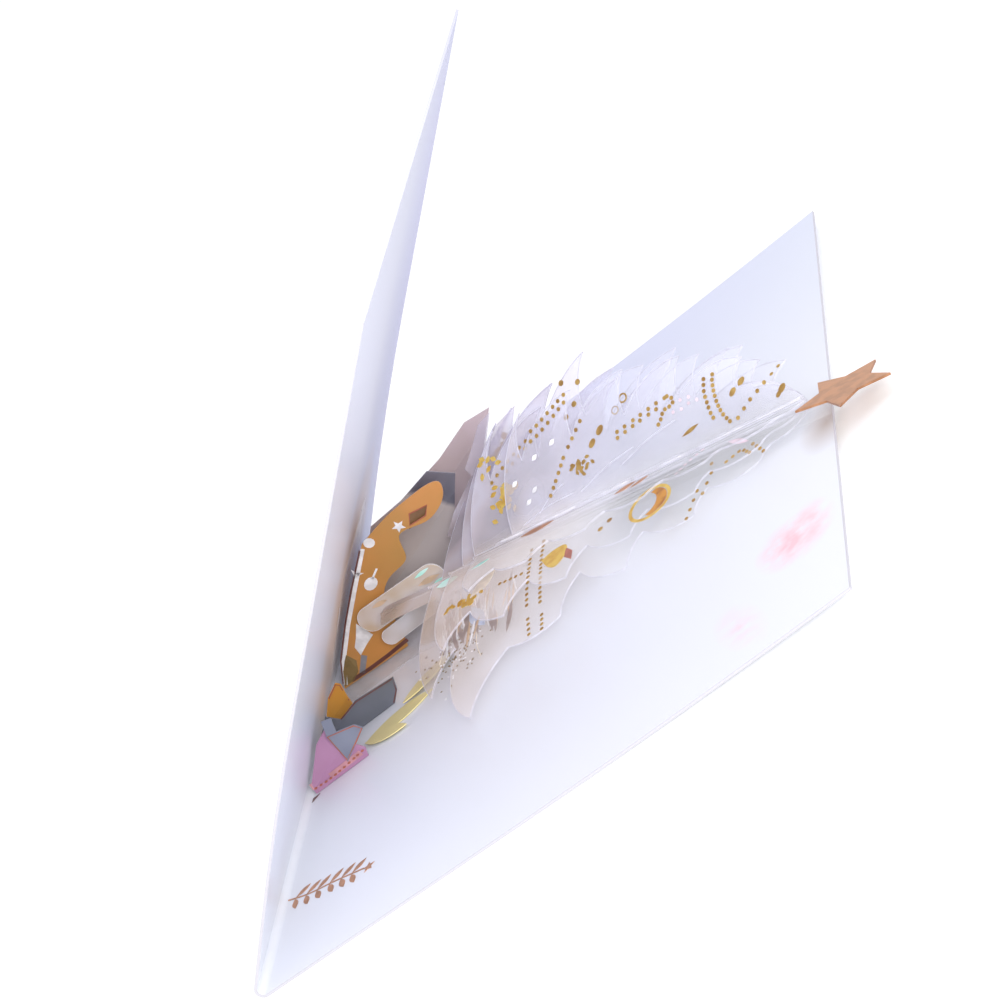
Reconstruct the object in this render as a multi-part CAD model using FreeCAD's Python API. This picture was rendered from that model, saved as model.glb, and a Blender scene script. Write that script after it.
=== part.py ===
"""Pop up greeting card, partly open: a folded cover lying on one panel, with a stepped base of
folded plates and gifts across the fold, and a tree of folded film layers that ends in a star.

Working axes, in millimetres: the spine runs along +Y from the near end of the card, +X runs from
the spine to the free edge of the lower panel, and +Z is up. Z is 0 on the lower panel's inner face.
The finished model is moved so that its origin is at the middle of the underside.
"""
import math
import os

import FreeCAD
import Part
from FreeCAD import Matrix, Placement, Vector

os.makedirs("parts", exist_ok=True)

# Cover: one creased sheet
panel_width = 150.0
spine_length = 200.0
card_thickness = 0.6
opening_angle = 39.2
fold_radius = 1.2
lower_flat_width = 50.0
lower_curl_radius = 2300.0
upper_bow_angle = 3.9
upper_bow_width = 70.0

# Sheets inside the card
film_thickness = 0.25
plate_thickness = 0.4
glue_gap = 0.1

# Tree: layers folded along one axis, from the base to the star
tree_base = Vector(30.0, 113.0, 13.0)
star_centre = Vector(155.2, 78.1, 5.2)
star_tilt_normal = Vector(0.22, 0.10, 0.97)
star_turn = 14.3
star_outer_radius = 11.3
star_inner_radius = 6.0
star_thickness = 0.5
star_clearance = 9.0
far_taper = 6.0
near_taper = 1.5
branch_depth_share = 0.40
far_notch_shift = -3.0
near_notch_shift = 3.0
branch_bulge = 0.13
leaf_bend_radius = 150.0
layer_step = 0.9
crease_radius = 0.4
stem_half_width = 3.0
stem_tail = 2.0
stem_far_angle = -4.0
stem_near_angle = 207.0

# Base strips on the two panels, and the plates that stand across the fold
strip_start = 110.0
strip_inner_edge = 5.0
lower_strip_width = 36.0
lower_strip_length = 66.0
upper_strip_width = 34.0
upper_strip_length = 44.0
rake_away = 12.0
rake_forward = -10.0
front_plate_at = strip_start + 9.5
slate_plate_at = strip_start + 24.0
back_plate_at = strip_start + 40.0
rear_plate_at = strip_start + 60.0
loop_at = strip_start + 6.6
pink_gift_at = 74.0
blue_gift_at = 91.0
gold_gift_at = 103.0
bow_gap = 0.5

UP = Vector(0, 0, 1)
ALONG = Vector(0, 1, 0)
half_opening = math.radians(opening_angle) / 2
bisector = Vector(math.cos(half_opening), 0, math.sin(half_opening))
across = Vector(-math.sin(half_opening), 0, math.cos(half_opening))


def heading(angle):
    """Unit vector in the X-Z plane, angle in radians above +X."""
    return Vector(math.cos(angle), 0, math.sin(angle))


def arc(start, middle, end):
    return Part.Arc(start, middle, end).toShape()


def line(start, end):
    return Part.LineSegment(start, end).toShape()


def loop_face(points):
    """Flat face through the given corners."""
    return Part.Face(Part.makePolygon(list(points) + [points[0]]))


# The cover's inner profile
root_angle = math.radians(opening_angle + upper_bow_angle)
fold_tangent = fold_radius / math.tan(root_angle / 2)
fold_centre = Vector(fold_tangent, 0, fold_radius)
upper_bow_radius = (upper_bow_width - fold_tangent) / math.radians(upper_bow_angle)
upper_bow_centre = heading(root_angle) * fold_tangent + heading(root_angle - math.pi / 2) * upper_bow_radius
curl_angle = (panel_width - lower_flat_width) / lower_curl_radius
curl_centre = Vector(lower_flat_width, 0, lower_curl_radius)


def upper_face(distance, lift):
    """Point above the upper panel's inner face, at a distance from the spine measured on the sheet."""
    turned = min(distance, upper_bow_width) - fold_tangent
    angle = root_angle - turned / upper_bow_radius
    on_bow = upper_bow_centre + heading(angle + math.pi / 2) * (upper_bow_radius - lift)
    return on_bow + heading(angle) * max(0.0, distance - upper_bow_width)


def cover_profile(outward):
    """Edges from the lower free edge round the fold to the upper free edge, offset outward."""
    curl = lower_curl_radius + outward
    curl_end = curl_centre + heading(curl_angle - math.pi / 2) * curl
    curl_middle = curl_centre + heading(curl_angle / 2 - math.pi / 2) * curl
    flat_end = curl_centre + heading(-math.pi / 2) * curl
    fold_start = fold_centre + heading(-math.pi / 2) * (fold_radius + outward)
    fold_middle = fold_centre + heading(root_angle / 2 + math.pi) * (fold_radius + outward)
    bow_middle = upper_face((fold_tangent + upper_bow_width) / 2, -outward)
    return [
        arc(curl_end, curl_middle, flat_end),
        line(flat_end, fold_start),
        arc(fold_start, fold_middle, upper_face(fold_tangent, -outward)),
        arc(upper_face(fold_tangent, -outward), bow_middle, upper_face(upper_bow_width, -outward)),
        line(upper_face(upper_bow_width, -outward), upper_face(panel_width, -outward)),
    ]


def make_cover():
    inner = Part.Wire(cover_profile(0.0))
    outer = Part.Wire(cover_profile(card_thickness))
    lower_end = line(inner.OrderedVertexes[0].Point, outer.OrderedVertexes[0].Point)
    upper_end = line(inner.OrderedVertexes[-1].Point, outer.OrderedVertexes[-1].Point)
    outline = Part.Wire(Part.__sortEdges__(inner.Edges + outer.Edges + [lower_end, upper_end]))
    return Part.Face(outline).extrude(ALONG * spine_length)


# The tree's own axes
star_normal = Vector(star_tilt_normal).normalize()
stem_end = star_centre - star_normal * (star_thickness / 2 + crease_radius + glue_gap)
stem_length = (stem_end - tree_base).Length
tree_top = stem_length - star_clearance
tree_axis = (stem_end - tree_base).normalize()
tree_side = (ALONG - tree_axis * ALONG.dot(tree_axis)).normalize()
tree_up = tree_axis.cross(tree_side)


def fan_placement(angle, layer):
    """Local X along the tree's axis, local Y outward in the fan at an angle in degrees above the
    side away from the viewer, moved up by whole steps so that layers nest like pages."""
    turn = math.radians(angle)
    outward = tree_side * math.cos(turn) + tree_up * math.sin(turn)
    normal = tree_axis.cross(outward)
    origin = tree_base + tree_up * (layer * layer_step)
    return Placement(Matrix(
        tree_axis.x, outward.x, normal.x, origin.x,
        tree_axis.y, outward.y, normal.y, origin.y,
        tree_axis.z, outward.z, normal.z, origin.z,
        0, 0, 0, 1))


def swept_edge(start, end, bulge):
    """Arc in the local X-Y plane whose height is a share of its chord."""
    chord = end - start
    sideways = Vector(-chord.y, chord.x, 0)
    return arc(start, (start + end) * 0.5 + sideways * bulge, end)


def branch_outline(root_at, first_tip, pitch, reach, long_branch, extra, taper, notch_shift):
    """One side of a tree: wave shaped branches that grow smaller towards the star, with one branch
    longer than its neighbours by an extra length. The notch after a tip is shifted along the axis."""
    root = Vector(root_at, 0, 0)
    count = int((tree_top - pitch / 4 - first_tip) / pitch) + 1
    tips = []
    for index in range(count):
        distance = first_tip + index * pitch
        width = reach * (1.0 - (distance / (tree_top + pitch / 3)) ** taper)
        tips.append(Vector(distance, width + (extra if index == long_branch else 0.0), 0))
    edges = [swept_edge(root, tips[0], branch_bulge)]
    top = Vector(tree_top, 0, 0)
    for tip, following in zip(tips, tips[1:] + [top]):
        notch = Vector(tip.x + notch_shift, tip.y * (1.0 - branch_depth_share), 0)
        edges.append(swept_edge(tip, notch, -branch_bulge))
        edges.append(swept_edge(notch, following, branch_bulge))
    edges.append(line(top, root))
    return Part.Face(Part.Wire(edges))


def bent_half(outline, angle, layer, curl):
    """One half of a layer: the outline cut from a film that bends gently away from the axis."""
    box = outline.BoundBox
    inner_radius = leaf_bend_radius - film_thickness
    widest = math.asin(min(0.95, (box.YMax + 1.0) / inner_radius))

    def on_bend(radius, turn):
        return Vector(box.XMin - 1.0, radius * math.sin(turn), curl * (leaf_bend_radius - radius * math.cos(turn)))

    def bend(radius):
        return arc(on_bend(radius, 0.0), on_bend(radius, widest / 2), on_bend(radius, widest))

    section = Part.Wire([
        bend(leaf_bend_radius),
        line(on_bend(leaf_bend_radius, widest), on_bend(inner_radius, widest)),
        bend(inner_radius),
        line(on_bend(inner_radius, 0.0), on_bend(leaf_bend_radius, 0.0)),
    ])
    film = Part.Face(section).extrude(Vector(box.XLength + 2.0, 0, 0))
    prism = outline.copy()
    prism.translate(-UP * leaf_bend_radius)
    half = film.common(prism.extrude(UP * (2 * leaf_bend_radius)))
    half.Placement = fan_placement(angle, layer).multiply(half.Placement)
    return half


def crease(start, end, layer):
    """Round fold that joins the two halves of a layer."""
    rod = Part.makeCylinder(crease_radius, end - start, Vector(start, 0, 0), Vector(1, 0, 0))
    rod.Placement = fan_placement(0.0, layer).multiply(rod.Placement)
    return rod


def folded_layer(layer, far_angle, far_side, near_angle, near_side):
    """One film sheet folded on the axis. Each side is (root, first tip, pitch, reach, long branch,
    extra reach of the long branch)."""
    far_outline = branch_outline(*far_side, far_taper, far_notch_shift)
    near_outline = branch_outline(*near_side, near_taper, near_notch_shift)
    far_half = bent_half(far_outline, far_angle, layer, 1.0)
    near_half = bent_half(near_outline, near_angle, layer, -1.0)
    start = min(far_outline.BoundBox.XMin, near_outline.BoundBox.XMin)
    return far_half.fuse([near_half, crease(start, tree_top, layer)]).removeSplitter()


def strip_outline(start, end, half_width):
    corners = [(start, 0), (start, half_width), (end, half_width), (end, 0)]
    return loop_face([Vector(x, y, 0) for x, y in corners])


def make_stem():
    """Narrow folded strip under the layers, from the base to the star."""
    outline = strip_outline(-stem_tail, stem_length, stem_half_width)
    halves = [bent_half(outline, stem_far_angle, -1, 1.0), bent_half(outline, stem_near_angle, -1, -1.0)]
    return halves[0].fuse([halves[1], crease(-stem_tail, stem_length, -1)]).removeSplitter()


def make_star():
    corners = []
    for index in range(10):
        radius = star_outer_radius if index % 2 == 0 else star_inner_radius
        turn = math.pi + math.radians(star_turn) + index * math.pi / 5
        corners.append(Vector(radius * math.cos(turn), radius * math.sin(turn), -star_thickness / 2))
    star = loop_face(corners).extrude(UP * star_thickness)
    star.Placement = Placement(star_centre, FreeCAD.Rotation(UP, star_normal))
    return star


def folded_plate(position, rake, window, thickness):
    """Plate across the card, creased where it meets the middle plane of the opening. The window is
    its outline as seen from the near end, and the rake is how far both wings lean away, in degrees."""
    spread = panel_width / 2
    lean = spread * math.tan(math.radians(rake))
    path = [(-spread, position + lean), (0.0, position), (spread, position + lean)]
    near_side = [across * v + ALONG * y for v, y in path]
    far_side = [point + ALONG * thickness for point in reversed(near_side)]
    sheet = loop_face(near_side + far_side)
    sheet.translate(-bisector * spread)
    sheet = sheet.extrude(bisector * (2 * panel_width))
    return sheet.common(window.extrude(ALONG * (2 * spine_length))).removeSplitter()


def upright(points):
    """Corners given as (distance from the spine, height) pairs."""
    return [Vector(x, 0, z) for x, z in points]


seat = glue_gap + film_thickness + glue_gap


def make_front_plate():
    """Plate with a long arm and round lobes on its right, and one window in the arm."""
    lobes = upright([
        (35.0, 27.8), (43.8, 29.6), (51.8, 30.0), (59.2, 28.0), (58.3, 26.0), (54.3, 23.2), (49.7, 22.6),
        (42.9, 23.7), (41.6, 21.5), (39.9, 18.0), (35.0, 17.0), (29.0, 13.2), (27.2, 8.0), (25.6, 1.2)])
    edge = Part.BSplineCurve()
    edge.interpolate(lobes)
    back = upright([(25.4, seat), (5.0, seat), (9.7, 7.3), (18.2, 14.5), (25.8, 20.6)])
    outline = Part.Wire([edge.toShape()] + Part.makePolygon([lobes[-1]] + back + [lobes[0]]).Edges)
    plate = folded_plate(front_plate_at, rake_forward, Part.Face(outline), plate_thickness)
    opening = loop_face(upright([(48.6, 26.7), (53.2, 25.7), (51.1, 23.8), (46.6, 24.2)]))
    return plate.cut(opening.extrude(ALONG * spine_length))


def make_strip_lower():
    """Film strip glued to the lower panel under the base."""
    strip = Part.makeBox(lower_strip_width, lower_strip_length, film_thickness)
    strip.translate(Vector(strip_inner_edge, strip_start, glue_gap))
    return strip


def make_strip_upper():
    """Film strip glued to the upper panel behind the base, following its bow."""
    far = strip_inner_edge + upper_strip_width
    middle = (strip_inner_edge + far) / 2
    near_lift = glue_gap
    far_lift = glue_gap + film_thickness
    outline = Part.Wire([
        arc(upper_face(strip_inner_edge, near_lift), upper_face(middle, near_lift), upper_face(far, near_lift)),
        line(upper_face(far, near_lift), upper_face(far, far_lift)),
        arc(upper_face(far, far_lift), upper_face(middle, far_lift), upper_face(strip_inner_edge, far_lift)),
        line(upper_face(strip_inner_edge, far_lift), upper_face(strip_inner_edge, near_lift)),
    ])
    strip = Part.Face(outline).extrude(ALONG * upper_strip_length)
    strip.translate(ALONG * strip_start)
    return strip


def make_loop(start, end, width, position):
    """Film tongue with a round end, standing across the card. start and end are (x, z) pairs."""
    first = Vector(start[0], position, start[1])
    last = Vector(end[0], position, end[1])
    run = (last - first).normalize()
    side = run.cross(ALONG) * (width / 2)
    outline = Part.Wire([
        line(first + side, last + side),
        arc(last + side, last + run * (width / 2), last - side),
        line(last - side, first - side),
        arc(first - side, first - run * (width / 2), first + side),
    ])
    return Part.Face(outline).extrude(ALONG * film_thickness)


def make_bow():
    """Two tied loops at the top corner of the nearest gift."""
    wide_loop = [(15.6, 10.4), (22.6, 8.8), (23.8, 7.0), (20.2, 5.0), (15.2, 2.4)]
    short_loop = [(15.6, 9.8), (17.2, 13.8), (19.6, 13.2), (18.0, 9.2)]
    loops = [loop_face([Vector(x, 0, z) for x, z in loop]).extrude(ALONG * film_thickness)
             for loop in (wide_loop, short_loop)]
    bow = loops[0].fuse(loops[1]).removeSplitter()
    bow.translate(ALONG * (pink_gift_at - bow_gap))
    return bow


def make_ground_leaf(x, y, length, turn, level):
    """Pointed leaf that lies on the lower panel, or on the leaves below it."""
    half = length / 2
    width = length * 0.16
    outline = Part.Wire([
        arc(Vector(-half, 0, 0), Vector(0, width, 0), Vector(half, 0, 0)),
        arc(Vector(half, 0, 0), Vector(0, -width, 0), Vector(-half, 0, 0)),
    ])
    leaf = Part.Face(outline).extrude(UP * film_thickness)
    height = glue_gap + level * (film_thickness + glue_gap)
    leaf.Placement = Placement(Vector(x, y, height), FreeCAD.Rotation(UP, turn))
    return leaf


parts = {
    "card_cover": make_cover(),
    "base_strip_lower": make_strip_lower(),
    "base_strip_upper": make_strip_upper(),
    "front_plate": make_front_plate(),
    "slate_plate": folded_plate(slate_plate_at, rake_away, loop_face(upright([
        (6.0, seat), (22.0, 16.0), (38.0, 24.0), (52.0, 27.0), (57.5, 22.8), (48.0, 12.0), (34.0, seat)])),
        plate_thickness),
    "back_plate": folded_plate(back_plate_at, rake_away, loop_face(upright([
        (5.0, seat), (24.9, 19.2), (36.6, 20.2), (50.7, 23.0), (61.7, 26.6), (69.3, 26.1), (56.0, 14.0),
        (44.0, seat)])), plate_thickness),
    "rear_plate": folded_plate(rear_plate_at, rake_away, loop_face(upright([
        (5.0, seat), (16.0, 11.0), (27.0, 13.5), (40.0, 15.0), (46.0, 9.0), (38.0, seat)])), plate_thickness),
    "pink_gift": folded_plate(pink_gift_at, rake_away, loop_face(upright([
        (3.6, glue_gap), (4.0, 2.4), (11.6, 9.4), (15.8, 11.3), (20.0, 2.2), (19.0, glue_gap)])),
        plate_thickness),
    "gift_bow": make_bow(),
    "blue_gift": folded_plate(blue_gift_at, rake_away, loop_face(upright([
        (3.6, glue_gap), (4.6, 3.5), (9.7, 7.5), (12.4, 5.0), (18.4, 6.8), (29.0, 5.8), (27.4, 2.6),
        (24.5, glue_gap)])), plate_thickness),
    "gold_gift": folded_plate(gold_gift_at, rake_away, loop_face(upright([
        (3.6, glue_gap), (4.4, 3.3), (7.7, 6.6), (11.6, 8.5), (12.6, 7.6), (11.8, 3.4), (11.0, glue_gap)])),
        plate_thickness),
    "film_loop_upper": make_loop((24.0, 11.8), (42.5, 11.5), 6.6, loop_at),
    "film_loop_lower": make_loop((24.5, 5.4), (42.0, 6.0), 4.2, loop_at),
    "tree_stem": make_stem(),
    "tree_layer_1": folded_layer(
        0, 8.0, (18.0, 33.0, 16.0, 40.0, 0, 6.0), 199.0, (15.5, 24.0, 17.0, 42.0, 1, 19.0)),
    "tree_layer_2": folded_layer(
        1, 20.0, (25.2, 35.5, 17.5, 35.0, 1, 3.0), 190.0, (22.0, 30.0, 16.0, 36.0, -1, 0.0)),
    "tree_layer_3": folded_layer(
        2, 32.0, (29.5, 39.5, 14.5, 28.0, 2, 8.0), 177.0, (30.5, 38.0, 15.0, 26.0, -1, 0.0)),
    "tree_layer_4": folded_layer(
        3, 44.0, (41.5, 52.0, 14.5, 25.5, -1, 0.0), 160.0, (38.7, 46.0, 14.5, 16.0, -1, 0.0)),
    "star_topper": make_star(),
    "leaf_1": make_ground_leaf(27.0, 84.0, 20.0, 12.0, 0),
    "leaf_2": make_ground_leaf(24.0, 79.0, 14.0, -20.0, 1),
    "leaf_3": make_ground_leaf(35.0, 92.0, 16.0, 35.0, 2),
}

whole = Part.makeCompound(list(parts.values())).optimalBoundingBox(False)
to_origin = Vector(-whole.Center.x, -whole.Center.y, -whole.ZMin)
for name, shape in parts.items():
    shape.translate(to_origin)
    shape.exportStep("parts/" + name + ".step")
    print(name, len(shape.Solids), shape.isValid(), round(shape.Volume, 2))
print("moved by", to_origin)
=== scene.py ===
"""Dressed scene of the pop up card: pearl card, clear film with foil prints, printed base plates.

The frame is in metres. Prints are laid out in the CAD source's working millimetres and brought into
the frame by to_frame. On the tree they are given along its axis and outward from it, on the plates
from the spine and upward, and on the lower panel from the spine and along it.
"""
import math
import random

import bmesh
import bpy
from mathutils import Matrix, Vector


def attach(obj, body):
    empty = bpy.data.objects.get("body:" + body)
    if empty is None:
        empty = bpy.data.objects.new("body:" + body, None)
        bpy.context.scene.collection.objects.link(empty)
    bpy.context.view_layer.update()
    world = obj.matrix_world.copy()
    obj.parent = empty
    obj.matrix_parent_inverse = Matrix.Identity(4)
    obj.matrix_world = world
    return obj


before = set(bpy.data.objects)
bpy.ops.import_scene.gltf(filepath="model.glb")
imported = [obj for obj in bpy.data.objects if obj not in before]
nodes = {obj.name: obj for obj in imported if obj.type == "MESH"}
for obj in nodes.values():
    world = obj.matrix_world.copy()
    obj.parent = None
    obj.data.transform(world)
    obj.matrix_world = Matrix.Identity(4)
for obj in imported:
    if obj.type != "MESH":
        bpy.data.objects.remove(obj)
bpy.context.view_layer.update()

# The photograph's camera, in metres
camera_place = Vector((0.1903, -0.5385, 0.2007))
camera_aim = Vector((0.02434, -0.09069, 0.05256))
camera_roll = math.radians(-42.37)
camera_lens = 97.03
sensor_width = 36.0

# Studio: light from below, from the horizon and from above, with where each starts on the way from
# straight down at 0 to straight up at 1, then the key light and the floor
below_light = (0.68, 0.69, 0.80)
horizon_light = (0.92, 0.92, 0.94)
sky_light = (0.95, 0.95, 0.965)
sky_stops = ((0.44, below_light), (0.5, horizon_light), (0.75, sky_light))
key_place = Vector((0.45, -0.85, 0.35))
key_aim = Vector((0.0, 0.0, 0.02))
key_power = 6.5
key_size = 0.5
key_light = (1.0, 0.985, 0.97)
floor_half = 12.0
floor_tone = (0.93, 0.93, 0.93)
floor_glow = 0.16

# Metres in a millimetre
millimetre = 0.001

# Shared with the CAD source, in millimetres and degrees
working_shift = Vector((-83.391, -100.0, 0.6))
opening_angle = 39.2
lower_flat_width = 50.0
lower_curl_radius = 2300.0
spine_length = 200.0
panel_reach = 149.95
tree_base = Vector((30.0, 113.0, 13.0))
tree_end = Vector((155.0, 78.0, 4.4))
bend_radius = 150.0
film_thickness = 0.25
layer_step = 0.9
far_angles = (8.0, 20.0, 32.0, 44.0)
near_angles = (199.0, 190.0, 177.0, 160.0)
front_plate_at = 119.5
front_plate_rake = -10.0
pink_gift_at = 74.0
blue_gift_at = 91.0
gold_gift_at = 103.0
gift_rake = 12.0
bow_at = 73.5
loop_at = 116.6

# Prints and loose film, in millimetres
dot_radius = 0.5
bauble = (81.2, 9.4)
bauble_radius = 5.2
bauble_rim = 0.9
crescent_radius = 4.6
hollow_radius = 4.4
hollow_shift = 2.6
vein_rise = 0.7
large_leaf_at = 131.0
small_leaf_at = 129.0
window_back_gap = 0.55
stitch_lift = 0.1
sprig_spacing = 3.4
sprig_reach = 2.6
sprig_spread = 3.6

# Foil lies this far above its sheet, and is this thick
foil_lift = 0.03
foil_thickness = 0.06

# A film's cut edge shows as a line this wide, where the sheet turns by more than this
edge_width = 0.13
edge_turn = math.radians(50.0)

# Grey of the card's cut edge
cut_card_tone = (0.58, 0.57, 0.62)

tree_axis = (tree_end - tree_base).normalized()
tree_side = (Vector((0, 1, 0)) - tree_axis * tree_axis.y).normalized()
tree_up = tree_axis.cross(tree_side)
half_opening = math.radians(opening_angle / 2)


def to_frame(point):
    return (point + working_shift) * millimetre


# Surfaces: a place on each comes from two flat coordinates and a lift off the sheet, in millimetres

def film(side, layer):
    """The camera's side of one half of a tree layer: distance along the axis, distance outward."""
    angles, sign = (far_angles, 1.0) if side == "far" else (near_angles, -1.0)
    angle = math.radians(angles[layer - 1])
    outward = tree_side * math.cos(angle) + tree_up * math.sin(angle)
    normal = tree_axis.cross(outward) * sign
    origin = tree_base + tree_up * (layer_step * (layer - 1))

    def place(along, out, lift):
        radius = bend_radius - film_thickness - lift
        turn = math.asin(out / bend_radius)
        bent = outward * (radius * math.sin(turn)) + normal * (bend_radius - radius * math.cos(turn))
        return origin + tree_axis * along + bent
    return place


def plate(position, rake):
    """The near face of a creased plate: distance from the spine, height."""
    slope = math.tan(math.radians(rake))

    def place(x, z, lift):
        spread = abs(z * math.cos(half_opening) - x * math.sin(half_opening))
        return Vector((x, position + spread * slope - lift, z))
    return place


def upright(position):
    return plate(position, 0.0)


def lower_panel(x, y, lift):
    beyond = max(0.0, x - lower_flat_width)
    return Vector((x, y, lower_curl_radius - math.sqrt(lower_curl_radius ** 2 - beyond ** 2) + lift))


# Flat shapes, as closed outlines or as ribbons with a left and a right side

def disc(x, y, radius, sides=12, stretch=1.0, turn=0.0):
    points = []
    for index in range(sides):
        angle = 2 * math.pi * index / sides
        a = radius * stretch * math.cos(angle)
        b = radius * math.sin(angle)
        points.append((x + a * math.cos(turn) - b * math.sin(turn),
                       y + a * math.sin(turn) + b * math.cos(turn)))
    return points


def star(x, y, radius, points=5, waist=0.45):
    corners = []
    for index in range(2 * points):
        reach = radius if index % 2 == 0 else radius * waist
        angle = math.pi / 2 + index * math.pi / points
        corners.append((x + reach * math.cos(angle), y + reach * math.sin(angle)))
    return corners


def lens(start, end, fullness=0.25, steps=6):
    """Pointed oval between two points, as wide to each side as its fullness times its length."""
    run = Vector(end) - Vector(start)
    side = Vector((-run.y, run.x)) * fullness
    shares = [index / steps for index in range(steps + 1)]
    upper = [Vector(start) + run * s + side * math.sin(math.pi * s) for s in shares]
    lower = [Vector(start) + run * s - side * math.sin(math.pi * s) for s in reversed(shares[1:-1])]
    return [tuple(point) for point in upper + lower]


def crescent(x, y):
    """Moon shape on the side of the bauble that points to the star."""
    moon = []
    for step in range(11):
        angle = math.radians(-80 + 16 * step)
        moon.append((x + crescent_radius * math.cos(angle), y + crescent_radius * math.sin(angle)))
    for step in range(9):
        angle = math.radians(60 - 15 * step)
        moon.append((x - hollow_shift + hollow_radius * math.cos(angle), y + hollow_radius * math.sin(angle)))
    return moon


def along_line(points, spacing):
    """Evenly spaced places on a smooth line through the given points."""
    dense = smooth(points)
    lengths = [0.0]
    for first, second in zip(dense, dense[1:]):
        lengths.append(lengths[-1] + (second - first).length)
    count = max(1, round(lengths[-1] / spacing))
    places = []
    for index in range(count + 1):
        wanted = lengths[-1] * index / count
        step = min(range(len(dense)), key=lambda k: abs(lengths[k] - wanted))
        places.append(dense[step])
    return places


def smooth(points, steps=24):
    """Points on a smooth line that passes through the given points."""
    knots = [Vector(point) for point in points]
    padded = [2 * knots[0] - knots[1]] + knots + [2 * knots[-1] - knots[-2]]
    line = []
    for a, b, c, d in zip(padded, padded[1:], padded[2:], padded[3:]):
        for index in range(steps):
            s = index / steps
            line.append(0.5 * (2 * b + (c - a) * s + (2 * a - 5 * b + 4 * c - d) * s ** 2
                               + (3 * b - a - 3 * c + d) * s ** 3))
    return line + [knots[-1]]


def ribbon(points, width, closed):
    """The two sides of a flat ribbon along a line, as (left, right) pairs of points."""
    line = [Vector(point) for point in points]
    pairs = []
    for index, point in enumerate(line):
        before = line[index - 1] if closed or index else point
        after = line[(index + 1) % len(line)] if closed or index + 1 < len(line) else point
        run = (after - before).normalized()
        side = Vector((-run.y, run.x)) * (width / 2)
        pairs.append((point + side, point - side))
    return pairs


class Foil:
    """Thin shapes on one surface, gathered in one mesh."""

    def __init__(self, surface):
        self.surface = surface
        self.points = []
        self.faces = []

    def patch(self, outline):
        first = len(self.points)
        count = len(outline)
        for lift in (foil_lift, foil_lift + foil_thickness):
            self.points += [to_frame(self.surface(x, y, lift)) for x, y in outline]
        lower = range(first, first + count)
        upper = range(first + count, first + 2 * count)
        self.faces += [tuple(reversed(lower)), tuple(upper)]
        for index in range(count):
            other = (index + 1) % count
            self.faces.append((lower[index], lower[other], upper[other], upper[index]))
        return self

    def line(self, points, width, closed=False):
        pairs = ribbon(points, width, closed)
        first = len(self.points)
        for left, right in pairs:
            for x, y in (left, right):
                for lift in (foil_lift, foil_lift + foil_thickness):
                    self.points.append(to_frame(self.surface(x, y, lift)))
        count = len(pairs)
        for index in range(count if closed else count - 1):
            a = first + 4 * index
            b = first + 4 * ((index + 1) % count)
            self.faces += [(a + 1, a + 3, b + 3, b + 1), (a, b, b + 2, a + 2),
                           (a, a + 1, b + 1, b), (a + 2, b + 2, b + 3, a + 3)]
        if not closed:
            last = first + 4 * (count - 1)
            self.faces += [(first, first + 2, first + 3, first + 1), (last, last + 1, last + 3, last + 2)]
        return self

    def garland(self, points, spacing, radius):
        for place in along_line(points, spacing):
            self.patch(disc(place.x, place.y, radius, 10))
        return self

    def finish(self, name, material, slot):
        mesh = bpy.data.meshes.new(name)
        mesh.from_pydata(self.points, [], self.faces)
        mesh.validate()
        mesh.update()
        piece = bpy.data.objects.new(name, mesh)
        bpy.context.scene.collection.objects.link(piece)
        mesh.materials.append(material)
        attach(piece, "root")


def add_shapes(name, surface, outlines, material, slot):
    """One mesh of flat shapes."""
    sheet = Foil(surface)
    for outline in outlines:
        sheet.patch(outline)
    sheet.finish(name, material, slot)


def add_line(name, surface, points, width, material, slot, closed=False):
    """One mesh of one ribbon."""
    Foil(surface).line(points, width, closed).finish(name, material, slot)


def add_strokes(name, side, layer, centre, spread, count, size, material):
    """Short foil strokes on the tree, in random directions round a place."""
    strokes = []
    for _ in range(count):
        x = random.gauss(centre[0], spread[0])
        y = random.gauss(centre[1], spread[1])
        turn = random.uniform(0, math.pi)
        dx = size * math.cos(turn)
        dy = size * math.sin(turn)
        strokes.append(lens((x - dx, y - dy), (x + dx, y + dy), 0.3, 4))
    add_shapes(name, film(side, layer), strokes, material, "gold_print")


def cut_edges(name, sources, material):
    """Fine three-sided rods along the cut edges of film sheets, which catch the light."""
    corners = ((0, 1, 4, 3), (1, 2, 5, 4), (2, 0, 3, 5), (0, 2, 1), (3, 4, 5))
    half = edge_width / 2 * millimetre
    points = []
    faces = []
    for source in sources:
        sheet = bmesh.new()
        sheet.from_mesh(nodes[source].data)
        bmesh.ops.remove_doubles(sheet, verts=sheet.verts, dist=1e-6)
        for edge in sheet.edges:
            if len(edge.link_faces) != 2 or edge.calc_face_angle() < edge_turn:
                continue
            start, end = (corner.co for corner in edge.verts)
            lift = (edge.link_faces[0].normal + edge.link_faces[1].normal).normalized() * half
            side = (end - start).normalized().cross(lift)
            first = len(points)
            points += [place + reach for place in (start, end) for reach in (side, lift, -side)]
            faces += [tuple(first + corner for corner in face) for face in corners]
        sheet.free()
    mesh = bpy.data.meshes.new(name)
    mesh.from_pydata(points, [], faces)
    mesh.update()
    rods = bpy.data.objects.new(name, mesh)
    bpy.context.scene.collection.objects.link(rods)
    mesh.materials.append(material)
    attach(rods, "root")


# Materials

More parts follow.
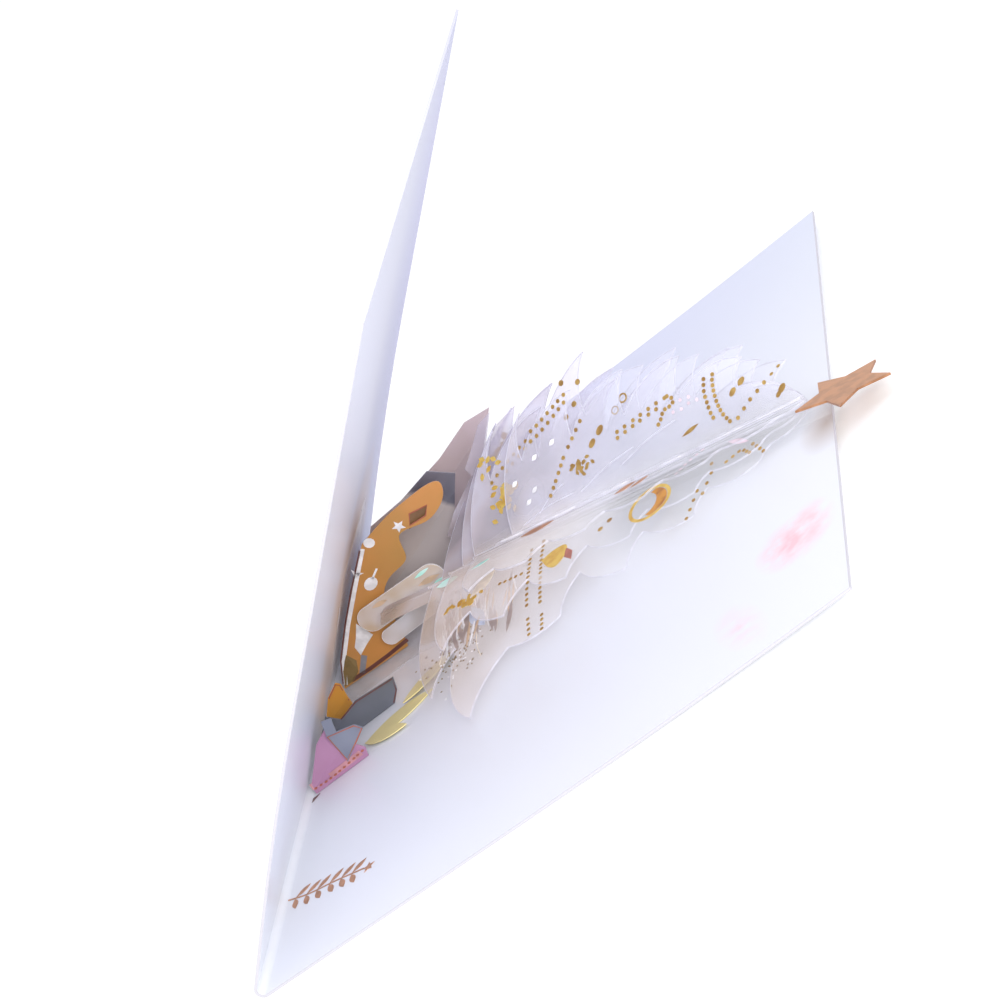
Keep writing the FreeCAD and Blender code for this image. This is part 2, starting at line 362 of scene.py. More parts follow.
class Paint:
    """A Principled material and short ways to feed it."""

    def __init__(self, name, colour, roughness, **values):
        self.material = bpy.data.materials.new(name)
        self.material.use_nodes = True
        self.material.cycles.emission_sampling = "NONE"
        self.tree = self.material.node_tree
        self.shader = self.tree.nodes["Principled BSDF"]
        self.shader.inputs["Base Color"].default_value = (*colour, 1.0)
        self.shader.inputs["Roughness"].default_value = roughness
        for key, value in values.items():
            self.shader.inputs[key.replace("_", " ").title().replace("Ior", "IOR")].default_value = value
        self.place = self.node("ShaderNodeTexCoord").outputs["Object"]

    def node(self, kind, inputs=(), **settings):
        made = self.tree.nodes.new(kind)
        for key, value in settings.items():
            setattr(made, key, value)
        for key, value in dict(inputs).items():
            if isinstance(value, bpy.types.NodeSocket):
                self.tree.links.new(value, made.inputs[key])
            else:
                made.inputs[key].default_value = value
        return made

    def noise(self, scale, detail=2.0):
        made = self.node("ShaderNodeTexNoise", {"Vector": self.place, "Scale": scale, "Detail": detail})
        return made.outputs["Fac"]

    def ramp(self, factor, *stops):
        made = self.node("ShaderNodeValToRGB", {"Fac": factor})
        elements = made.color_ramp.elements
        while len(elements) < len(stops):
            elements.new(0.5)
        for element, (position, colour) in zip(elements, stops):
            element.position = position
            element.color = (*colour, 1.0)
        return made.outputs["Color"]

    def level(self, factor, low, high):
        """Stretches a factor from 0..1 to low..high."""
        made = self.node("ShaderNodeMapRange", {"Value": factor, "To Min": low, "To Max": high})
        return made.outputs["Result"]

    def blob(self, centre, radius, stretch=(1.0, 1.0, 1.0), turn=0.0):
        """1 at a place on the object, falling to 0 at a radius, in working millimetres."""
        shift = self.node("ShaderNodeMapping", {
            "Vector": self.place, "Location": to_frame(Vector(centre)), "Rotation": (0.0, 0.0, turn),
            "Scale": [radius * millimetre * share for share in stretch]}, vector_type="TEXTURE")
        return self.node("ShaderNodeTexGradient", {"Vector": shift.outputs["Vector"]},
                         gradient_type="SPHERICAL").outputs["Fac"]

    def span(self, direction, origin, start, end):
        """0 at one distance from a point along a direction, 1 at another, in working millimetres."""
        reach = self.node("ShaderNodeVectorMath", {0: self.place, 1: direction}, operation="DOT_PRODUCT")
        offset = to_frame(origin).dot(direction)
        return self.node("ShaderNodeMapRange", {
            "Value": reach.outputs["Value"], "From Min": offset + start * millimetre,
            "From Max": offset + end * millimetre}).outputs["Result"]

    def facing_down(self):
        """1 on faces that look down, as the inside of the upper panel does, and 0 on the others."""
        normal = self.node("ShaderNodeTexCoord").outputs["Normal"]
        height = self.node("ShaderNodeSeparateXYZ", {"Vector": normal}).outputs["Z"]
        return self.node("ShaderNodeMapRange", {
            "Value": height, "From Min": 0.1, "From Max": -0.1}).outputs["Result"]

    def blend(self, factor, low, high):
        """One number mixed from two."""
        made = self.node("ShaderNodeMix", {0: factor, 2: low, 3: high}, data_type="FLOAT")
        return made.outputs[0]

    def mix(self, factor, low, high):
        made = self.node("ShaderNodeMix", data_type="RGBA")
        for socket, value in zip((made.inputs[0], made.inputs[6], made.inputs[7]), (factor, low, high)):
            if isinstance(value, bpy.types.NodeSocket):
                self.tree.links.new(value, socket)
            else:
                socket.default_value = (*value, 1.0)
        return made.outputs[2]

    def times(self, first, second):
        return self.node("ShaderNodeMath", {0: first, 1: second}, operation="MULTIPLY").outputs[0]

    def darker_rim(self, tone):
        """Greys the cut edges of the card: its two ends and the free edge of the lower panel."""
        far, near, free = (self.span(Vector(way), Vector(place), -0.05, 0.05) for way, place in (
            ((0, 1, 0), (0.0, spine_length - 0.1, 0.0)), ((0, -1, 0), (0.0, 0.1, 0.0)),
            ((1, 0, 0), (panel_reach - 0.1, 0.0, 0.0))))
        for rim in (far, near, free):
            tone = self.mix(rim, tone, cut_card_tone)
        return tone

    def feed(self, name, socket):
        self.tree.links.new(socket, self.shader.inputs[name])

    def bump(self, height, strength, distance):
        made = self.node("ShaderNodeBump", {"Height": height, "Strength": strength, "Distance": distance})
        self.feed("Normal", made.outputs["Normal"])


def pearl_card():
    """Smooth coated card, with a painted pink reflection of the star by the free corner, the star's painted
    shadow, painted lavender shade towards the far end and up the upper panel, and a painted warm reflection
    of the orange plate on the inside of the upper panel."""
    paint = Paint("pearl_card", (0.88, 0.89, 0.94), 0.26)
    tone = (0.852, 0.87, 0.93)
    smear = paint.level(paint.noise(240.0, 2.0), -0.9, 2.9)
    # Painted pink reflection of the star's foil on the lower panel by its free corner, broken up by noise
    star_reflection_spots = (((137.8, 34.7, 1.7), 9.5, (1.0, 1.2, 1.0), 0.5, 0.85),
             ((143.2, 37.5, 1.9), 7.5, (0.7, 1.3, 1.0), 0.3, 0.45),
             ((124.3, 15.1, 1.3), 11.0, (0.5, 1.2, 1.0), 0.4, 0.3))
    for centre, radius, stretch, turn, strength in star_reflection_spots:
        star_reflection = paint.times(paint.level(paint.blob(centre, radius, stretch, turn), 0.0, strength), smear)
        tone = paint.mix(star_reflection, tone, (0.96, 0.58, 0.64))
    shade = paint.level(paint.blob((148.0, 75.0, 2.1), 9.0, (0.8, 1.4, 1.0)), 0.0, 0.8)
    tone = paint.mix(shade, tone, (0.50, 0.40, 0.33))
    # Painted shade: lavender grey towards the far end of the card
    far_shade = paint.level(paint.span(Vector((0, 1, 0)), Vector((0, 0, 0)), 90.0, 200.0), 0.0, 0.8)
    tone = paint.mix(far_shade, tone, (0.70, 0.75, 0.90))
    # Painted shade: lavender grey rising up the upper panel
    upper_shade = paint.level(paint.span(Vector((0, 0, 1)), Vector((0, 0, 0)), 3.0, 20.0), 0.0, 0.75)
    tone = paint.mix(upper_shade, tone, (0.74, 0.75, 0.87))
    # Painted shade: darker lavender round the far end of the upper panel
    far_end_shade = paint.level(paint.blob((60.0, 215.0, 70.0), 120.0), 0.0, 0.7)
    tone = paint.mix(far_end_shade, tone, (0.60, 0.58, 0.88))
    # Painted warm reflection of the orange plate, only on the inside of the upper panel
    glow = paint.level(paint.blob((24.0, 128.0, 19.0), 1.0, (30.0, 50.0, 26.0)), 0.0, 1.1)
    tone = paint.mix(paint.times(glow, paint.facing_down()), tone, (0.88, 0.58, 0.34))
    paint.feed("Base Color", paint.darker_rim(tone))
    return paint.material


def tree_film():
    """Clear printed film: hazy taupe by the base, lavender on the far side, nearly clear on the near one,
    with a painted glow, mostly on the near half, that lifts it out of its shade."""
    # The emission colour is that of the painted glow
    paint = Paint("tree_film", (0.85, 0.85, 0.95), 0.18, Emission_Color=(0.95, 0.95, 1.0, 1.0))
    along = paint.span(tree_axis, tree_base, 5.0, 75.0)
    far = paint.span(tree_side, tree_base, -1.0, 3.0)
    far_tone = paint.mix(along, (0.46, 0.41, 0.48), (0.78, 0.79, 0.92))
    near_tone = paint.mix(along, (0.44, 0.28, 0.17), (0.94, 0.94, 1.0))
    outer = paint.blend(paint.span(tree_axis, tree_base, 90.0, 50.0), 0.0,
                        paint.span(tree_side, tree_base, 16.0, 34.0))
    tone = paint.mix(outer, paint.mix(far, near_tone, far_tone), (0.62, 0.58, 0.82))
    pearl = paint.ramp(paint.noise(60.0, 1.0), (0.36, (0.34, 0.27, 0.20)), (0.46, (0.70, 0.58, 0.50)),
                       (0.54, (0.90, 0.87, 0.92)), (0.66, (0.66, 0.50, 0.36)))
    paint.feed("Base Color", paint.mix(paint.blend(along, 0.5, 0.1), tone, pearl))
    # Painted glow: on the near half from faint at the base to strong outward along the axis, faint on the far
    # half, none at the outer tips
    light = paint.blend(far, paint.blend(along, 0.05, 0.5), paint.blend(along, 0.0, 0.1))
    paint.feed("Emission Strength", paint.blend(outer, light, 0.0))
    share = paint.blend(far, paint.blend(along, 0.48, 0.05), paint.blend(along, 0.66, 0.16))
    paint.feed("Alpha", paint.blend(outer, share, 0.42))
    return paint.material


def clear_film(name, opacity, tone, second):
    """Clear film with a milky sheen in two tints."""
    paint = Paint(name, tone, 0.1)
    cloud = paint.noise(120.0, 1.0)
    paint.feed("Base Color", paint.ramp(cloud, (0.38, tone), (0.62, second)))
    paint.feed("Alpha", paint.level(cloud, opacity - 0.2, opacity + 0.2))
    return paint.material


def printed_film(name, first, second, scale=60.0, roughness=0.28):
    """Printed film: two close tints clouded together under a thin gloss coat."""
    paint = Paint(name, first, roughness, Coat_Weight=0.2, Coat_Roughness=0.12)
    paint.feed("Base Color", paint.ramp(paint.noise(scale), (0.38, first), (0.66, second)))
    return paint.material


def slate_film():
    """Dark print at the top right of the plate that fades to taupe below."""
    paint = Paint("slate_film", (0.2, 0.2, 0.24), 0.25, Coat_Weight=0.5, Coat_Roughness=0.08)
    low = paint.blob((28.0, 138.0, 4.0), 32.0)
    dark = paint.ramp(paint.noise(80.0), (0.35, (0.10, 0.10, 0.13)), (0.7, (0.24, 0.23, 0.28)))
    edge = paint.ramp(low, (0.13, (0.0, 0.0, 0.0)), (0.17, (1.0, 1.0, 1.0)))
    paint.feed("Base Color", paint.mix(edge, dark, (0.50, 0.45, 0.44)))
    return paint.material


def foil(name, colour, dark):
    """Stamped foil, slightly uneven."""
    paint = Paint(name, colour, 0.3, Metallic=0.7)
    grain = paint.noise(400.0, 2.0)
    paint.feed("Base Color", paint.ramp(grain, (0.35, dark), (0.6, colour)))
    paint.feed("Roughness", paint.level(grain, 0.22, 0.45))
    paint.bump(grain, 0.2, 0.0002)
    return paint.material


def ink(name, colour):
    paint = Paint(name, colour, 0.4, Coat_Weight=0.3)
    darker = tuple(channel * 0.82 for channel in colour)
    paint.feed("Base Color", paint.ramp(paint.noise(400.0), (0.4, darker), (0.6, colour)))
    return paint.material


def set_material(material, *names):
    for name in names:
        slots = nodes[name].data.materials
        slots.clear()
        slots.append(material)


def add_camera():
    data = bpy.data.cameras.new("camera")
    data.lens = camera_lens
    data.sensor_width = sensor_width
    camera = bpy.data.objects.new("camera", data)
    bpy.context.scene.collection.objects.link(camera)
    turn = (camera_aim - camera_place).to_track_quat("-Z", "Y").to_matrix()
    turn = turn @ Matrix.Rotation(camera_roll, 3, "Z")
    camera.matrix_world = Matrix.Translation(camera_place) @ turn.to_4x4()
    bpy.context.scene.camera = camera


def add_floor():
    corners = [(floor_half * x, floor_half * y, 0) for x, y in ((-1, -1), (1, -1), (1, 1), (-1, 1))]
    mesh = bpy.data.meshes.new("floor")
    mesh.from_pydata(corners, [], [(0, 1, 2, 3)])
    floor = bpy.data.objects.new("floor", mesh)
    bpy.context.scene.collection.objects.link(floor)
    mesh.materials.append(Paint("floor", floor_tone, 1.0, Specular_IOR_Level=0.0,
                                Emission_Color=(1.0, 1.0, 1.0, 1.0), Emission_Strength=floor_glow).material)
    floor.visible_glossy = False


def add_key():
    """Soft round light from the camera's right, into the card's opening."""
    data = bpy.data.lights.new("key", "AREA")
    data.shape = "DISK"
    data.size = key_size
    data.energy = key_power
    data.color = key_light
    light = bpy.data.objects.new("key", data)
    light.location = key_place
    light.rotation_euler = (key_aim - key_place).to_track_quat("-Z", "Y").to_euler()
    bpy.context.scene.collection.objects.link(light)


def add_lights():
    """Pale surroundings, lavender below the horizon, and the key light."""
    world = bpy.data.worlds.new("studio")
    world.use_nodes = True
    tree = world.node_tree
    height = tree.nodes.new("ShaderNodeSeparateXYZ")
    tree.links.new(tree.nodes.new("ShaderNodeTexCoord").outputs["Generated"], height.inputs[0])
    share = tree.nodes.new("ShaderNodeMapRange")
    share.inputs["From Min"].default_value = -1.0
    tree.links.new(height.outputs["Z"], share.inputs["Value"])
    shade = tree.nodes.new("ShaderNodeValToRGB")
    tree.links.new(share.outputs["Result"], shade.inputs["Fac"])
    stops = shade.color_ramp.elements
    stops.new(0.5)
    for stop, (level, light) in zip(stops, sky_stops):
        stop.position = level
        stop.color = (*light, 1.0)
    tree.links.new(shade.outputs["Color"], tree.nodes["Background"].inputs["Color"])
    bpy.context.scene.world = world
    bpy.context.scene.view_settings.view_transform = "Standard"
    add_key()


add_camera()
add_floor()
add_lights()

gold = foil("gold_foil", (0.62, 0.40, 0.12), (0.42, 0.24, 0.07))
bright_gold = foil("bright_gold_foil", (0.92, 0.66, 0.16), (0.78, 0.47, 0.08))
amber = foil("amber_foil", (0.80, 0.38, 0.07), (0.55, 0.22, 0.05))
rose = foil("rose_foil", (0.64, 0.32, 0.17), (0.50, 0.24, 0.12))
pale_rose = ink("pale_rose_ink", (0.82, 0.66, 0.74))
# White print, and also painted highlights: glints, sparkles and fold highlights on the film
white_ink_and_highlights = ink("white_ink_and_highlights", (0.93, 0.92, 0.95))
# Brown print, and also the painted shade lines at the front plate's foot and in its gap
brown_ink_and_shade = ink("brown_ink_and_shade", (0.16, 0.06, 0.05))
rust_ink = ink("rust_ink", (0.45, 0.13, 0.08))
grey_ink = ink("grey_ink", (0.30, 0.30, 0.34))
olive_ink = ink("olive_ink", (0.24, 0.16, 0.06))
# Brown of the painted shade behind the front plate's window
window_shade_ink = ink("window_shade_ink", (0.24, 0.13, 0.06))
salmon_ink = ink("salmon_ink", (0.62, 0.30, 0.33))
# Beige and taupe also paint reflections along the film's folds
beige_ink_and_reflections = ink("beige_ink_and_reflections", (0.66, 0.48, 0.33))
cream_ink = ink("cream_ink", (0.88, 0.78, 0.66))
taupe_ink_and_reflections = ink("taupe_ink_and_reflections", (0.42, 0.34, 0.32))
sky_ink = ink("sky_ink", (0.62, 0.68, 0.84))
film_edge = ink("film_edge", (0.78, 0.77, 0.88))
white_edge = ink("white_edge", (0.90, 0.89, 0.92))
mint_sheen = printed_film("mint_sheen", (0.45, 0.85, 0.75), (0.70, 0.92, 0.88), 200.0, 0.12)

set_material(pearl_card(), "card_cover")
tree_paint = tree_film()
set_material(tree_paint, "tree_layer_1", "tree_layer_2", "tree_layer_3", "tree_layer_4", "tree_stem")
set_material(clear_film("loop_film", 0.55, (0.80, 0.66, 0.52), (0.86, 0.80, 0.80)), "film_loop_upper")
set_material(clear_film("low_loop_film", 0.55, (0.80, 0.74, 0.72), (0.88, 0.86, 0.90)), "film_loop_lower")
set_material(clear_film("strip_film", 0.22, (0.94, 0.91, 0.93), (0.98, 0.97, 1.0)),
             "base_strip_lower", "base_strip_upper")
set_material(printed_film("orange_print", (0.60, 0.27, 0.08), (0.48, 0.25, 0.07)), "front_plate")
set_material(slate_film(), "slate_plate")
set_material(printed_film("beige_print", (0.55, 0.44, 0.43), (0.62, 0.51, 0.54), 40.0),
             "back_plate", "rear_plate")
set_material(printed_film("pink_print", (0.40, 0.19, 0.33), (0.48, 0.25, 0.40)), "pink_gift")
set_material(printed_film("blue_print", (0.11, 0.12, 0.14), (0.17, 0.18, 0.22)), "blue_gift")
set_material(printed_film("bow_print", (0.16, 0.17, 0.23), (0.24, 0.26, 0.33)), "gift_bow")
set_material(printed_film("gold_print", (0.72, 0.33, 0.05), (0.62, 0.30, 0.05)), "gold_gift")
set_material(printed_film("leaf_print", (0.90, 0.78, 0.36), (0.76, 0.66, 0.32)),
             "leaf_1", "leaf_2", "leaf_3")
set_material(rose, "star_topper")

# Garlands of foil dots on the tree: side, layer, line, spacing
garlands = [
    ("far", 4, [(64.7, 24.6), (60.1, 22.9), (55.8, 21.2), (53.5, 20.5)], 2.0),
    ("far", 4, [(64.1, 23.0), (59.3, 20.8), (54.9, 19.0), (52.7, 18.4)], 2.0),
    ("far", 3, [(48.1, 21.9), (45.8, 21.0), (43.1, 19.7), (39.6, 17.9), (36.8, 16.1)], 2.0),
    ("far", 3, [(47.6, 20.3), (44.2, 18.6), (41.4, 17.2)], 2.0),
    ("far", 4, [(66.7, 17.5), (63.9, 15.1), (61.8, 13.3)], 1.9),
    ("far", 4, [(59.8, 11.5), (57.5, 8.8), (54.0, 4.7)], 1.8),
    ("far", 4, [(75.1, 11.4), (80.5, 12.3), (86.3, 13.3), (89.0, 13.6)], 2.4),
    ("far", 4, [(74.8, 10.1), (80.8, 11.3), (86.2, 12.1)], 2.4),
    ("far", 4, [(89.7, 13.7), (90.9, 12.6), (90.3, 11.5), (88.8, 11.3), (87.7, 10.9), (86.6, 9.5),
                (85.7, 8.7)], 1.3),
    ("far", 4, [(102.0, 13.6), (101.5, 12.3), (101.1, 9.7), (101.2, 6.8), (101.8, 4.4), (103.0, 2.2)], 1.25),
    ("far", 4, [(99.6, 13.5), (98.8, 10.9), (98.8, 8.1), (99.0, 5.6), (99.3, 4.6)], 1.25),
    ("far", 1, [(111.1, 18.8), (109.4, 17.3)], 2.3),
    ("far", 4, [(113.4, 6.8), (111.2, 5.7), (109.1, 4.7), (107.0, 3.4), (105.1, 2.1)], 2.3),
    ("near", 2, [(47.1, 6.0), (47.8, 10.9), (48.9, 16.2)], 1.7),
    ("near", 1, [(45.5, 13.2), (45.7, 15.9), (46.6, 20.5)], 1.7),
    ("near", 1, [(48.0, 25.4), (49.7, 30.9)], 2.0),
    ("near", 2, [(50.3, 4.8), (51.2, 10.7), (52.6, 16.7)], 1.7),
    ("near", 1, [(49.2, 13.6), (49.6, 16.4), (50.6, 21.4)], 1.7),
    ("near", 1, [(52.1, 26.0), (53.3, 30.9)], 2.0),
    ("near", 2, [(39.9, 13.5), (42.0, 13.6), (46.2, 13.6)], 1.8),
    ("near", 1, [(106.6, 3.0), (107.9, 4.5), (109.5, 6.5)], 1.7),
    ("near", 2, [(105.7, 6.1), (107.5, 7.9)], 1.3),
    ("near", 2, [(104.4, 5.7), (103.0, 6.4), (101.3, 7.3)], 1.6),
    ("near", 1, [(95.7, 3.1), (95.7, 6.1), (94.7, 8.3), (93.8, 10.7)], 2.3),
    ("near", 1, [(92.2, 9.2), (91.5, 11.4), (90.8, 13.8), (90.1, 16.2)], 2.2),
]
for index, (side, layer, points, spacing) in enumerate(garlands):
    Foil(film(side, layer)).garland(points, spacing, dot_radius).finish(
        f"garland_{index + 1}", gold, "gold_print")
Foil(film("near", 3)).garland([(94.6, 0.8), (91.8, 3.7), (89.8, 7.5)], 1.8, 0.45).finish(
    "pale_garland", pale_rose, "rose_foil")
faint = Foil(film("far", 4))
faint.garland([(92.6, 11.6), (94.8, 11.4), (96.6, 10.0)], 2.0, 0.4)
faint.garland([(94.4, 10.1), (92.1, 9.6), (90.1, 9.8)], 2.0, 0.4)
faint.finish("faint_garland", pale_rose, "rose_foil")

# Baubles and single ornaments on the tree
big_dots = [disc(x, y, 0.7) for x, y in ((60.9, 30.9), (65.3, 29.3), (63.1, 24.8), (60.3, 22.7))]
add_shapes("big_dots", film("far", 3), big_dots, gold, "gold_print")
rings = Foil(film("far", 3)).line(disc(76.1, 20.7, 1.0), 0.4, True).line(disc(73.5, 18.8, 0.9), 0.3, True)
rings.finish("small_rings", gold, "gold_print")
ovals = [disc(x, y, radius, 14, 1.7, 0.7) for x, y, radius in (
    (70.9, 13.6, 0.75), (68.1, 11.6, 0.7), (105.5, 8.0, 0.65), (117.1, 3.9, 0.7), (116.0, 3.0, 0.5))]
ovals.append(lens((95.4, 4.9), (90.6, 3.7), 0.09))
add_shapes("ovals", film("far", 4), ovals, gold, "gold_print")
add_shapes("high_oval", film("far", 3), [disc(106.5, 11.3, 0.75, 14, 1.6, 0.7)], gold, "gold_print")
add_shapes("loose_dots", film("near", 2), [disc(69.9, 8.6, 0.7), disc(67.8, 10.4, 0.7)], gold, "gold_print")
add_shapes("pale_band", film("near", 2), [lens((100.6, 0.3), (106.5, 3.5), 0.12)], pale_rose, "rose_foil")
Foil(film("near", 2)).line(disc(*bauble, bauble_radius, 40), bauble_rim, True).finish(
    "bauble", bright_gold, "gold_print")
add_shapes("bauble_crescent", film("near", 2), [crescent(*bauble)], amber, "gold_print")
add_shapes("rose_bow", film("near", 3), [
    lens((71.0, 2.4), (76.2, 0.4), 0.18), lens((75.6, 2.9), (79.8, 0.5), 0.16)], rose, "rose_foil")
add_shapes("rose_leaf", film("near", 3), [lens((43.6, 1.3), (53.0, 0.5), 0.15)], rose, "rose_foil")

# Clusters of short strokes on the tree: name, side, layer, centre, spread, count, half length, material
random.seed(7)
clusters = [
    ("snowflake_gold", "far", 3, (39.9, 11.4), (1.9, 2.0), 34, 1.0, bright_gold),
    ("sprig_strokes", "far", 4, (63.2, 8.0), (1.9, 1.0), 22, 0.7, gold),
    ("bow_knots", "far", 3, (35.6, 21.8), (1.4, 1.4), 8, 1.0, bright_gold),
    ("bow_strokes", "far", 1, (30.6, 38.0), (1.2, 1.6), 8, 1.5, bright_gold),
    ("edge_strokes", "far", 1, (27.0, 34.0), (1.0, 1.0), 5, 1.2, bright_gold),
    ("berry_strokes", "near", 2, (30.2, 14.8), (2.4, 1.0), 24, 0.9, bright_gold),
    ("film_glitter", "near", 1, (27.5, 25.0), (4.0, 5.0), 90, 0.32, olive_ink),
    ("film_glints", "near", 1, (29.0, 26.0), (4.6, 6.0), 40, 0.34, white_ink_and_highlights),
    ("film_flecks", "near", 1, (24.0, 21.0), (2.6, 4.5), 34, 0.4, taupe_ink_and_reflections),
]
for cluster in clusters:
    add_strokes(*cluster)

bell = smooth([(51.6, 12.2), (54.0, 10.4), (57.4, 9.8), (58.8, 11.6), (58.6, 14.6), (56.8, 17.0),
               (54.2, 15.6), (51.6, 12.2)], 4)
add_shapes("bell", film("near", 2), [[tuple(point) for point in bell[:-1]]], bright_gold, "gold_print")
add_shapes("bell_tag", film("near", 2), [
    [(58.4, 11.4), (60.8, 13.6), (61.4, 17.0), (58.8, 14.8)]], rust_ink, "rose_foil")

# Folds of the crumpled film at the tree's foot, painted as reflections and highlights, with its painted
# glints and its tabs
# Painted reflections along the film's folds: taupe and beige streaks, and white highlights
for name, material, count, fullness in (
        ("taupe_fold_reflections", taupe_ink_and_reflections, 18, 0.07), ("beige_fold_reflections", beige_ink_and_reflections, 16, 0.04),
        ("white_fold_highlights", white_ink_and_highlights, 16, 0.03)):
    fold_reflections = []
    for _ in range(count):
        start = (random.uniform(20.0, 42.0), random.uniform(6.0, 18.0))
        reach = random.uniform(5.0, 10.0)
        drift = random.uniform(-0.1, 0.5)
        fold_reflections.append(lens(start, (start[0] + reach * drift, start[1] + reach), fullness))
    add_shapes(name, film("near", 1), fold_reflections, material, "clear_film")
slits = Foil(film("near", 1))
slits.line(smooth([(24.4, 17.4), (23.4, 20.0), (22.8, 23.6), (22.7, 27.4)], 6), 0.35)
slits.line(smooth([(32.0, 20.0), (33.4, 26.0), (36.0, 31.0)], 6), 0.22)
slits.finish("film_slit", cream_ink, "clear_film")
add_shapes("sky_patch", film("near", 1), [lens((28.0, 12.6), (34.4, 20.6), 0.2)], sky_ink, "clear_film")
add_shapes("cream_tab", film("near", 2), [lens((31.2, 13.6), (36.6, 7.0), 0.22, 8)], cream_ink, "clear_film")
glints = [lens((x - 0.8, y - 0.5), (x + 0.8, y + 0.5), 0.3, 4)
          for x, y in ((50.2, 7.7), (47.9, 5.6), (52.4, 14.6), (58.0, 16.0), (45.4, 11.0))]
add_shapes("film_sparkles", film("far", 4), glints, white_ink_and_highlights, "clear_film")
veins = Foil(film("far", 4))
for first, last in (((45.0, 1.0), (60.0, 3.0)), ((62.0, 2.4), (78.0, 6.6)), ((74.0, 4.0), (90.0, 8.0)),
                    ((50.0, 2.0), (58.0, 6.0))):
    middle = ((first[0] + last[0]) / 2, (first[1] + last[1]) / 2 + vein_rise)
    veins.line(smooth([first, middle, last], 6), 0.14)
veins.finish("film_veins", film_edge, "clear_film")
add_shapes("root_mint_sheen", film("near", 1), [lens((16.4, 1.4), (23.0, 0.9), 0.16)], mint_sheen,
           "clear_film")
add_shapes("leaf_mint_sheen", film("near", 3), [lens((31.4, 6.8), (36.0, 5.2), 0.14)], mint_sheen,
           "clear_film")

# Loose film leaves that stand before the plates
add_shapes("film_leaf_large", upright(large_leaf_at), [[
    (81.1, 28.6), (74.7, 27.5), (68.1, 24.7), (59.9, 20.3), (51.8, 16.3), (46.5, 12.5), (51.9, 7.4),
    (60.0, 6.3), (66.3, 11.9), (72.4, 20.2)]], tree_paint, "clear_film")
add_shapes("film_leaf_small", upright(small_leaf_at), [[
    (76.1, 31.5), (71.8, 30.7), (67.3, 27.4), (62.0, 23.9), (62.6, 19.9), (66.3, 22.3), (71.3, 26.9)]],
    tree_paint, "clear_film")

# Prints on the base plates, with painted shade at the front plate's foot, in its gap by the upper panel and
# behind its window
front = plate(front_plate_at, front_plate_rake)
shapes = Foil(front).patch(star(44.6, 25.8, 1.7)).patch(disc(36.6, 27.0, 1.35))
shapes.patch(disc(29.4, 18.4, 1.5, 14, 1.3, 0.4)).line([(30.6, 19.2), (33.2, 20.6)], 0.5)
shapes.patch(star(28.6, 22.6, 1.8, 3, 0.3))
shapes.patch([(19.4, 12.4), (20.2, 7.4), (17.4, 6.4), (14.2, 5.0), (14.6, 7.6), (16.6, 9.4)])
shapes.finish("plate_white_shapes", white_ink_and_highlights, "cover_card")
add_shapes("plate_grey_bar", front, [[(14.3, 5.0), (15.4, 4.0), (12.0, 0.9), (10.8, 1.6)]], grey_ink,
           "slate_print")
add_line("plate_margin", front, [(6.0, 1.2), (10.2, 6.6), (18.0, 13.6), (25.4, 19.6), (34.4, 26.8)], 1.0,
         white_ink_and_highlights, "cover_card")
add_line("plate_foot_shade", front, [(8.0, 1.2), (14.0, 1.1), (20.0, 1.3), (26.4, 1.8)], 0.9, brown_ink_and_shade,
         "slate_print")
# Painted shadow in the gap between the front plate and the upper panel
add_line("plate_gap_shadow", front, [(5.6, 1.6), (9.6, 6.9), (17.3, 13.9), (24.7, 20.0), (33.6, 26.9)], 0.45,
         brown_ink_and_shade, "slate_print")
add_line("window_rim", front, [(48.6, 26.7), (53.2, 25.7), (51.1, 23.8), (46.6, 24.2)], 0.35, rust_ink,
         "orange_print", True)
# Painted shade behind the front plate's window: a brown sheet just behind it
add_shapes("window_shade", plate(front_plate_at + window_back_gap, front_plate_rake), [
    [(48.0, 27.6), (54.6, 26.4), (52.0, 23.0), (45.6, 23.4)]], window_shade_ink, "orange_print")
add_shapes("plate_olive_zone", front, [
    [(8.6, 5.2), (11.7, 7.4), (12.4, 4.6), (11.0, 2.2), (8.4, 0.9), (5.6, 0.9)]], olive_ink, "orange_print")
add_line("blue_gift_outline", plate(blue_gift_at, gift_rake), [
    (12.6, 5.1), (18.4, 6.5), (28.6, 5.6), (27.2, 2.7), (24.4, 0.4)], 0.3, brown_ink_and_shade, "slate_print")
add_line("gold_gift_outline", plate(gold_gift_at, gift_rake), [
    (7.9, 6.4), (11.5, 8.2), (12.3, 7.5), (11.6, 3.4)], 0.3, rust_ink, "slate_print")
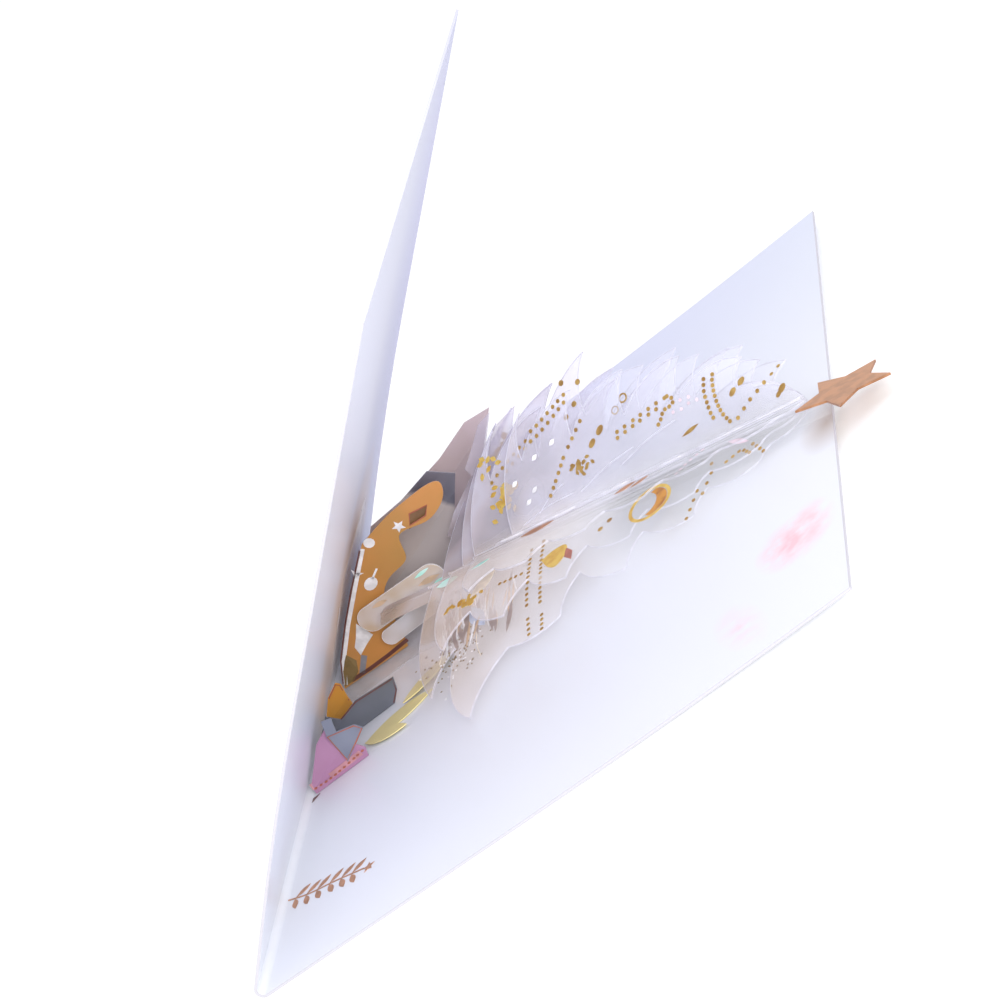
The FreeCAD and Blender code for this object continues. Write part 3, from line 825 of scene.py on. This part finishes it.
add_line("pink_gift_border", plate(pink_gift_at, gift_rake), [(3.8, 2.2), (10.0, 1.7), (18.4, 1.9)], 1.5,
         salmon_ink, "rose_foil")
stitches = [lens((place.x - 0.5, place.y), (place.x + 0.5, place.y + 0.1), 0.3, 4)
            for place in along_line([(4.6, 1.4), (10.0, 1.2), (19.0, 2.0)], 1.5)]
add_shapes("pink_gift_stitches", plate(pink_gift_at - stitch_lift, gift_rake), stitches, rust_ink,
           "rose_foil")
add_line("bow_outline", upright(bow_at), [
    (15.8, 10.0), (22.4, 8.6), (23.4, 7.0), (20.1, 5.2), (15.4, 2.9)], 0.3, rust_ink, "rose_foil", True)
add_shapes("loop_mint_sheen", upright(loop_at), [
    lens((40.4, 8.9), (45.2, 9.7), 0.16), lens((39.0, 13.6), (43.6, 13.8), 0.1)], mint_sheen, "clear_film")
add_shapes("loop_orange_glow", upright(loop_at), [
    lens((38.4, 11.6), (44.6, 10.9), 0.12), lens((26.0, 13.9), (30.4, 13.4), 0.14)], beige_ink_and_reflections, "clear_film")

# Brown corner under the nearest gift, and the films' cut edges
add_shapes("gift_corner", lower_panel, [[(1.4, 73.2), (4.8, 73.5), (2.2, 71.0)]], brown_ink_and_shade, "slate_print")
cut_edges("tree_film_edges", ("tree_layer_1", "tree_layer_2", "tree_layer_3", "tree_layer_4"), film_edge)
cut_edges("loop_edges", ("film_loop_upper", "film_loop_lower"), white_edge)

# Plain foil sprig at the near end of the lower panel
sprig_line = [(1.8, 33.6), (9.0, 30.0), (17.0, 27.6), (25.4, 24.6)]
sprig = Foil(lower_panel).line(smooth(sprig_line, 10), 0.45)
places = along_line(sprig_line, sprig_spacing)
for before, place, after in zip(places, places[1:], places[2:]):
    run = (after - before).normalized()
    across = Vector((-run.y, run.x))
    for way in (1.0, -1.0):
        tip = place + run * sprig_reach + across * (sprig_spread * way)
        sprig.patch(lens(tuple(place + across * (0.3 * way)), tuple(tip), 0.2))
sprig.patch(star(26.8, 24.0, 1.7))
sprig.finish("foil_sprig", rose, "rose_foil")
